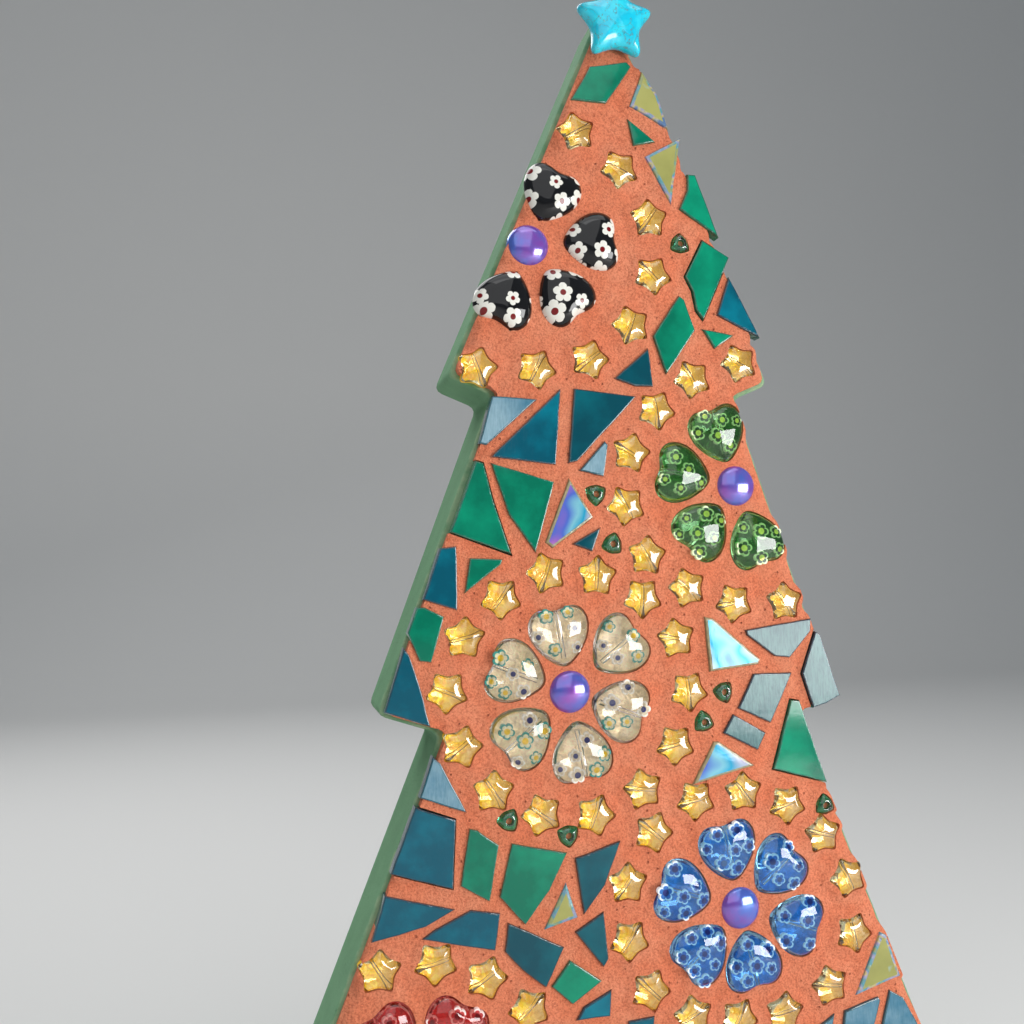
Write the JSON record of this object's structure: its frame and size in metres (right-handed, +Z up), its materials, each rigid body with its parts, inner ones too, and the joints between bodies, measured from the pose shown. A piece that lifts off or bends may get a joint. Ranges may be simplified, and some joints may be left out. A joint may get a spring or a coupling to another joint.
{
  "type": "mosaic panel",
  "caption": "Three-tier Christmas tree wall panel: a thick painted board faced with terracotta grout, nipped glass, glass hearts, star beads and lustre discs.",
  "frame": {"origin": "on the flat back face, on the tree's axis, at half the panel's height", "axes": "+Z up along the tree, towards its top star; +Y out of the flat back, towards the wall; the mosaic faces -Y; +X to the right seen from the front"},
  "size_m": [0.1972, 0.0312, 0.3463],
  "materials": {
    "board_paint": "sage green chalk paint on 22 mm fibreboard, matt",
    "grout": "terracotta cement grout, fine sandy matt surface",
    "turquoise": "turquoise stone bead, waxy gloss with brown veins",
    "lustre_disc": "violet glass disc with an iridescent lustre",
    "heart_black": "black glass heart with millefiori flowers, opaque and glossy",
    "heart_green": "green glass heart with millefiori flowers",
    "heart_clear": "clear glass heart with millefiori flowers",
    "heart_blue": "blue glass heart with millefiori flowers",
    "heart_red": "red glass heart with pale streaks",
    "glass_green": "emerald green sheet glass, opaque, nipped edges",
    "glass_teal": "teal sheet glass, opaque, slightly rippled",
    "glass_deep": "dark teal sheet glass, opaque",
    "glass_pale": "pale blue-teal sheet glass, opaque, rippled",
    "glass_grey": "grey-teal sheet glass with a silvery sheen",
    "glass_olive": "olive glass with an iridescent coat",
    "glass_pearl": "pearl white glass with an iridescent coat",
    "amber_glass": "amber glass star beads with a drilled hole, clear and glossy",
    "emerald_glass": "small dark emerald glass beads with a drilled hole"
  },
  "bodies": {
    "root": {"board": "board_paint", "disc_black": "lustre_disc", "disc_blue": "lustre_disc", "disc_clear": "lustre_disc", "disc_green": "lustre_disc", "disc_red": "lustre_disc", "grout_bed": "grout", "heart_black_1": "heart_black", "heart_black_2": "heart_black", "heart_black_3": "heart_black", "heart_black_4": "heart_black", "heart_blue_1": "heart_blue", "heart_blue_2": "heart_blue", "heart_blue_3": "heart_blue", "heart_blue_4": "heart_blue", "heart_blue_5": "heart_blue", "heart_blue_6": "heart_blue", "heart_clear_1": "heart_clear", "heart_clear_2": "heart_clear", "heart_clear_3": "heart_clear", "heart_clear_4": "heart_clear", "heart_clear_5": "heart_clear", "heart_clear_6": "heart_clear", "heart_green_1": "heart_green", "heart_green_2": "heart_green", "heart_green_3": "heart_green", "heart_green_4": "heart_green", "heart_red_1": "heart_red", "heart_red_2": "heart_red", "heart_red_3": "heart_red", "heart_red_4": "heart_red", "heart_red_5": "heart_red", "heart_red_6": "heart_red", "star_topper": "turquoise", "tile_deep_17": "glass_deep", "tile_deep_26": "glass_deep", "tile_deep_4": "glass_deep", "tile_deep_9": "glass_deep", "tile_green_1": "glass_green", "tile_green_13": "glass_green", "tile_green_15": "glass_green", "tile_green_18": "glass_green", "tile_green_2": "glass_green", "tile_green_20": "glass_green", "tile_green_22": "glass_green", "tile_green_25": "glass_green", "tile_green_5": "glass_green", "tile_green_6": "glass_green", "tile_green_8": "glass_green", "tile_grey_11": "glass_grey", "tile_grey_12": "glass_grey", "tile_pale_23": "glass_pale", "tile_pearl_10": "glass_pearl", "tile_pearl_16": "glass_pearl", "tile_teal_14": "glass_teal", "tile_teal_19": "glass_teal", "tile_teal_21": "glass_teal", "tile_teal_24": "glass_teal", "tile_teal_3": "glass_teal", "tile_teal_7": "glass_teal"}
  },
  "joints": []
}
